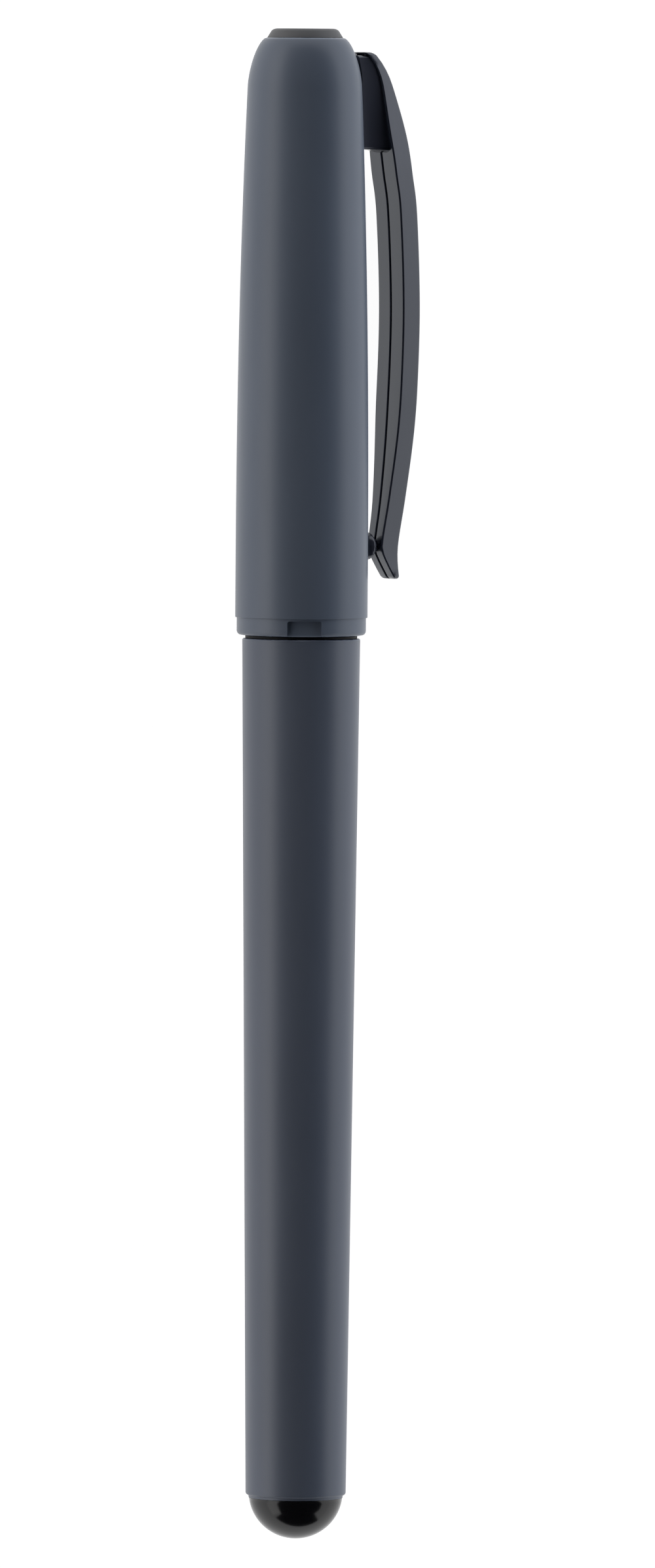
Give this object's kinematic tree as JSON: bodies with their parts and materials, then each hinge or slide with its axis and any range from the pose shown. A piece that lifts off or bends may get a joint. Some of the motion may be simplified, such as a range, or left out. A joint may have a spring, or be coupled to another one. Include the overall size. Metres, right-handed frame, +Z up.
{
  "type": "permanent marker",
  "caption": "Slim capped permanent marker lying on its side: tapered slate-grey barrel with a gloss black domed tail, matte cap with a lipped mouth and an arched, sprung pocket clip.",
  "frame": {"origin": "on the table that the marker lies on, under the middle of its outline seen from above", "axes": "+X along the pen towards the closed end of the cap; +Z up from the table; the clip lies on the -Y side, turned 21.4 degrees below level so that its edge and the cap's widest wall touch the table together"},
  "size_m": [0.137, 0.0174, 0.012],
  "materials": {
    "barrel_grey": "moulded, soft matte slate grey",
    "cap_grey": "moulded, soft matte slate grey",
    "gloss_black": "polished black",
    "ring_black": "satin black",
    "section_black": "satin black",
    "plug_grey": "fine matte neutral grey",
    "clip_charcoal": "smooth semi-gloss charcoal",
    "natural_plastic": "natural translucent white",
    "clear_film": "thin polished film",
    "ink_fibre": "bonded fibre soaked with black ink",
    "nib_fibre": "dense pressed fibre, inked"
  },
  "bodies": {
    "barrel_body": {"barrel": "barrel_grey", "tail_plug": "gloss_black", "collar_ring": "ring_black", "ink_reservoir": "ink_fibre", "reservoir_wrap": "clear_film", "transfer_wick": "ink_fibre", "front_section": "section_black", "nib_holder": "section_black", "writing_nib": "nib_fibre"},
    "cap_body": {"cap_shell": "cap_grey", "cap_top_plug": "plug_grey", "inner_cap": "natural_plastic"},
    "clip_body": {"pocket_clip": "clip_charcoal"}
  },
  "joints": [
    {"name": "cap_pull", "type": "slide", "parent": "barrel_body", "child": "cap_body", "axis": [1, 0, 0], "range_m": [0, 0.045]},
    {"name": "clip_flex", "type": "hinge", "parent": "cap_body", "child": "clip_body", "pos_m": [0.0611, -0.00186, 0.00423], "axis": [0, -0.3656, 0.9308], "range_deg": [0, 3], "stiffness_Nm_per_rad": 2, "springref_deg": -0.57}
  ]
}
